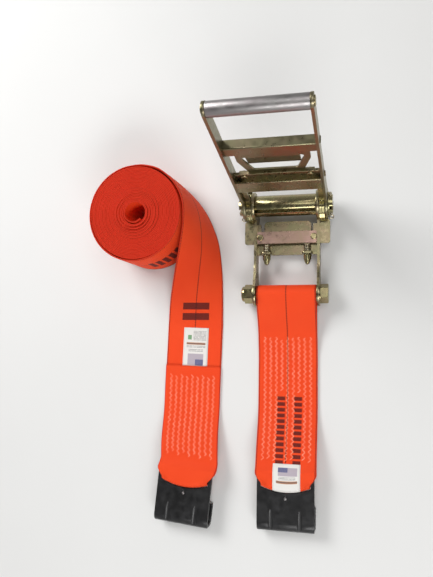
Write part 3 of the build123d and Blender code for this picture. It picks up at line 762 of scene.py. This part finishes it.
def thread_tubes(name, lines, material, sides=5):
    """All the seams of one strap as thin tubes in one mesh."""
    vertices, faces = [], []
    for line in lines:
        base = len(vertices)
        ahead = np.gradient(line, axis=0)
        ahead /= np.linalg.norm(ahead, axis=1, keepdims=True)
        right = np.cross(ahead, (0, 0, 1.0))
        right /= np.linalg.norm(right, axis=1, keepdims=True)
        up = np.cross(right, ahead)
        for p, r, u in zip(line, right, up):
            for a in np.arange(sides) * math.tau / sides:
                vertices.append(p + THREAD_R * (r * math.cos(a) + u * math.sin(a)))
        for i in range(len(line) - 1):
            for j in range(sides):
                k = (j + 1) % sides
                low = base + i * sides
                faces.append((low + j, low + k, low + sides + k, low + sides + j))
        faces.append(tuple(base + j for j in range(sides))[::-1])
        faces.append(tuple(len(vertices) - sides + j for j in range(sides)))
    return new_object(name, placed(vertices), faces, material)


SEAM_COLUMNS = np.arange(-4, 5) * 9.8
SHORT_SEAM = (-279.0, -70.0)           # y where the sewing begins and ends
SHORT_SEAM_PAST_BARS = -168.0          # it begins here in the columns of printed bars
LONG_SEAM = (-283.0, -142.0)
UNDERSIDE = -0.3             # how proud the thread stands where the strap lies on the floor
thread = thread_material()
short_seams, long_seams = [], []
for k, column in enumerate(SEAM_COLUMNS):
    ragged = 3.0 * (k % 2)
    under_bars = any(abs(column * MM - centre) < half for centre, half in BAR_COLUMNS)
    low = SHORT_SEAM_PAST_BARS if under_bars else SHORT_SEAM[0]
    ends = [along_at(short, y, short_slot_row) for y in (low + ragged, SHORT_SEAM[1] - ragged)]
    short_seams.append(zigzag(short, *ends, column, 1))
    low, high = LONG_SEAM[0] + ragged, LONG_SEAM[1] - ragged
    top = [along_at(long, y) for y in (high, low)]
    long_seams.append(zigzag(long, *top, column, -1))
    under = [along_at(long, y, long_slot_row) for y in (low, high)]
    long_seams.append(zigzag(long, *under, column, -1, proud=UNDERSIDE))
short_stitching = thread_tubes("short_strap_stitching", short_seams, thread)
long_stitching = thread_tubes("long_strap_stitching", long_seams, thread)
bend_at(short_stitching, SHORT_FLEX)
bend_at(long_stitching, LONG_FLEX)


# ---- metal ----------------------------------------------------------------------------------
GOLD, PINK, GREEN = colour(0.31, 0.275, 0.155), colour(0.35, 0.25, 0.17), colour(0.24, 0.25, 0.135)
STREAK = colour(0.16, 0.13, 0.08)
PAINT_BLACK, PAINT_DUSTY = colour(0.007, 0.007, 0.0075), colour(0.017, 0.017, 0.018)


def metal_material(name, base, warm, cool, roughness, grain):
    """Plated or bright steel: soft warm and cool clouds on a base tone and a fine rolled grain."""
    material, tree, shader = new_material(name, Metallic=1.0)
    clouds = stretched(tree, 1, 1, 1)
    first = noise(tree, clouds, 34, 3, 0.6, 0.8)
    second = noise(tree, clouds, 61, 2, 0.5, 1.2)
    tint = mix(tree, spread(tree, first, 0.42, 0.72, 0.0, 0.8), base, warm)
    tint = mix(tree, spread(tree, second, 0.50, 0.75, 0.0, 0.6), tint, cool)
    streaks = noise(tree, stretched(tree, *grain), 1.0, 4, 0.6)
    tint = mix(tree, spread(tree, streaks, 0.3, 0.8, 0.0, 0.22), tint, STREAK)
    feed(tree, shader["Base Color"], tint)
    rough = spread(tree, noise(tree, clouds, 120, 3), 0.3, 0.7, roughness - 0.07, roughness + 0.09)
    feed(tree, shader["Roughness"], rough)
    relief = bump(tree, streaks, 0.03 * MM, 0.5)
    feed(tree, shader["Normal"], bump(tree, noise(tree, clouds, 260, 2), 0.05 * MM, 0.2, relief))
    return material


def paint_material():
    """Semi-gloss black paint with a slight orange peel, dusty in patches."""
    material, tree, shader = new_material("black_paint", Specular_IOR_Level=0.38, Coat_Weight=0.12,
                                          Coat_Roughness=0.25)
    where = stretched(tree, 1, 1, 1)
    dust = spread(tree, noise(tree, where, 45, 4, 0.6), 0.45, 0.75)
    base = mix(tree, dust, PAINT_BLACK, PAINT_DUSTY)
    feed(tree, shader["Base Color"], base)
    feed(tree, shader["Roughness"], spread(tree, noise(tree, where, 90, 3), 0.3, 0.7, 0.34, 0.52))
    peel = bump(tree, noise(tree, where, 700, 1), 0.05 * MM, 0.5)
    feed(tree, shader["Normal"], bump(tree, noise(tree, where, 60, 2), 0.25 * MM, 0.3, peel))
    return material


metals = {
    "zinc": metal_material("zinc_sheet", GOLD, PINK, GREEN, 0.29, (40, 900, 900)),
    "zinc_turned": metal_material("zinc_turned", colour(0.37, 0.33, 0.17), colour(0.37, 0.28, 0.17),
                                  colour(0.29, 0.30, 0.15), 0.22, (900, 60, 60)),
    "zinc_dull": metal_material("zinc_dull", colour(0.24, 0.222, 0.13), colour(0.27, 0.215, 0.145),
                                colour(0.215, 0.21, 0.12), 0.33, (40, 900, 900)),
    "zinc_rosy": metal_material("zinc_rosy", colour(0.44, 0.29, 0.23), colour(0.48, 0.30, 0.26),
                                colour(0.38, 0.28, 0.19), 0.30, (40, 900, 900)),
    "grip_steel": metal_material("grip_steel", colour(0.33, 0.32, 0.32), colour(0.34, 0.30, 0.31),
                                 colour(0.29, 0.29, 0.28), 0.43, (20, 1200, 1200)),
    "spring_steel": metal_material("spring_steel", colour(0.50, 0.47, 0.36), PINK, GREEN, 0.25,
                                   (400, 400, 400)),
    "black_paint": paint_material(),
}
nylon, tree, shader = new_material("nylon_insert", Roughness=0.45)
feed(tree, shader["Base Color"], mix(tree, noise(tree, stretched(tree, 1, 1, 1), 300),
                                     colour(0.20, 0.24, 0.20), colour(0.26, 0.30, 0.26)))
metals["nylon"] = nylon

# Nodes with a shade of plating other than their slot's, and edges other than the usual bevel.
TONES = {"lock_pawl_bar": "zinc_rosy", "handle_mid_bar": "zinc_dull", "finger_pull": "zinc_dull",
         "handle_plate_left": "zinc_dull", "handle_plate_right": "zinc_dull"}
BEVEL = {"ratchet_wheel": 0.35, "drive_pawl_springs": 0, "lock_pawl_springs": 0, "cotter_pins": 0,
         "lock_pawl_keepers": 0}
USUAL_BEVEL = 0.5


def soften(cad_node, width):
    """Break the sharp edges of a CAD node with modifiers."""
    weld = cad_node.modifiers.new("weld", "WELD")
    weld.merge_threshold = 0.002 * MM
    flat = cad_node.modifiers.new("flat", "DECIMATE")
    flat.decimate_type = "DISSOLVE"
    flat.angle_limit = math.radians(1.0)
    edge = cad_node.modifiers.new("edges", "BEVEL")
    edge.width = width * MM
    edge.segments = 2
    edge.limit_method = "ANGLE"
    edge.angle_limit = math.radians(40)
    edge.harden_normals = False


for part in frame["record"]["subparts"]:
    cad_node = frame["nodes"][part["node"]]
    material = metals.get(TONES.get(part["node"], part["material_slot"]))
    if material is None:
        continue
    cad_node.data.materials.clear()
    cad_node.data.materials.append(material)
    width = next((w for name, w in BEVEL.items() if part["node"].startswith(name)), USUAL_BEVEL)
    if width:
        soften(cad_node, width)


# ---- punch marks on the hooks ---------------------------------------------------------------
MARK_RINGS = ((2.3, -0.3), (2.3, 0.05), (1.6, 0.3), (0.7, 0.4))    # (radius, height) of the dome
MARK_Y = -12.5               # from the middle of the slot


def punch_mark(name, place):
    """The small round punch mark below a hook's slot, as a low dome in its top face."""
    count = 24
    around = np.linspace(0, math.tau, count, endpoint=False)
    vertices, faces = [], []
    for radius, height in MARK_RINGS:
        vertices += [place(radius * math.cos(a), radius * math.sin(a) + MARK_Y, HOOK_TOP + height)
                     for a in around]
    for inner in range(count, len(vertices), count):
        outer = inner - count
        for j in range(count):
            k = (j + 1) % count
            faces.append((outer + j, outer + k, inner + k, inner + j))
    faces += [tuple(range(count))[::-1], tuple(range(len(vertices) - count, len(vertices)))]
    mark = new_object(name + "_punch_mark", placed(vertices), faces, metals["grip_steel"])
    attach(mark, name)


punch_mark("fixed_hook", fixed_place)
punch_mark("long_hook", long_place)


# ---- coil springs, copied from the CAD ones onto their joints' parent bodies ----------------
def living_spring(name, joint_name):
    """Stand in for a CAD spring with a copy of it, carried by its joint's parent body."""
    joint = next(j for j in frame["record"]["behaviour"]["joints"] if j["name"] == joint_name)
    cad_node = frame["nodes"][name]
    corners = [cad_node.matrix_world @ v.co for v in cad_node.data.vertices]
    coils = new_object(name + "_coils", corners, [tuple(f.vertices) for f in cad_node.data.polygons],
                       metals["spring_steel"])
    along = sorted(corners, key=Vector(joint["axis"]).dot)
    length = (along[-1] - along[0]).dot(Vector(joint["axis"]))
    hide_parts(name)
    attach(coils, joint["parent"])
    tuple(joint["axis"])
    tuple(along[-1])
    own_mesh(coils)


living_spring("lock_pawl_springs", "lock_pawl_slide")
living_spring("drive_pawl_springs", "drive_pawl_lift")


# ---- floor, light and camera ----------------------------------------------------------------
FLOOR = 6.0                  # metres from its middle to each side
FLOOR_Z = -0.2 * MM
floor_material, tree, shader = new_material("floor", Roughness=0.85)
speck = noise(tree, stretched(tree, 1, 1, 1), 3, 3)
sheet_tone = mix(tree, speck, colour(0.69, 0.69, 0.68), colour(0.73, 0.73, 0.72))
feed(tree, shader["Base Color"], sheet_tone)
floor_corners = [(x * FLOOR, y * FLOOR, FLOOR_Z) for x, y in ((-1, -1), (1, -1), (1, 1), (-1, 1))]
floor = new_object("floor", floor_corners, [(0, 1, 2, 3)], floor_material, smooth_faces=False)


def area_light(name, place, target, size, power, tint=(1, 1, 1)):
    data = bpy.data.lights.new(name, "AREA")
    data.shape = "RECTANGLE"
    data.size, data.size_y = size
    data.energy = power
    data.color = tint
    light = bpy.data.objects.new(name, data)
    light.location = at(*place)
    light.rotation_euler = (at(*target) - at(*place)).to_track_quat("-Z", "Y").to_euler()
    bpy.context.scene.collection.objects.link(light)


area_light("overhead", (440, 520, 2000), (0, 0, 0), (1.0, 1.2), 9)
area_light("back_left", (-1300, 1100, 1500), (-60, 0, 0), (1.2, 1.0), 38)
area_light("front_fill", (500, -1700, 1500), (0, 0, 50), (1.6, 0.8), 30)

world = bpy.data.worlds.new("studio")
world.use_nodes = True
tree = world.node_tree
direction = node(tree, "TexCoord").outputs["Generated"]
up = node(tree, "SeparateXYZ", {"Vector": direction}).outputs["Z"]
sky = mix(tree, spread(tree, up, 0.1, 0.9), colour(0.62, 0.62, 0.62), colour(0.12, 0.115, 0.11))
feed(tree, tree.nodes["Background"].inputs["Color"], sky)
tree.nodes["Background"].inputs["Strength"].default_value = 0.75
bpy.context.scene.world = world

bpy.context.scene.view_settings.view_transform = "Standard"

camera_data = bpy.data.cameras.new("camera")
camera_data.lens = 34.08
camera_data.shift_x = -0.0470
camera_data.shift_y = 0.0140
camera = bpy.data.objects.new("camera", camera_data)
camera.location = at(127.1, -87.0, 944.4)
camera.rotation_euler = (0.090, 0.215, 0.012)
bpy.context.scene.collection.objects.link(camera)
bpy.context.scene.camera = camera
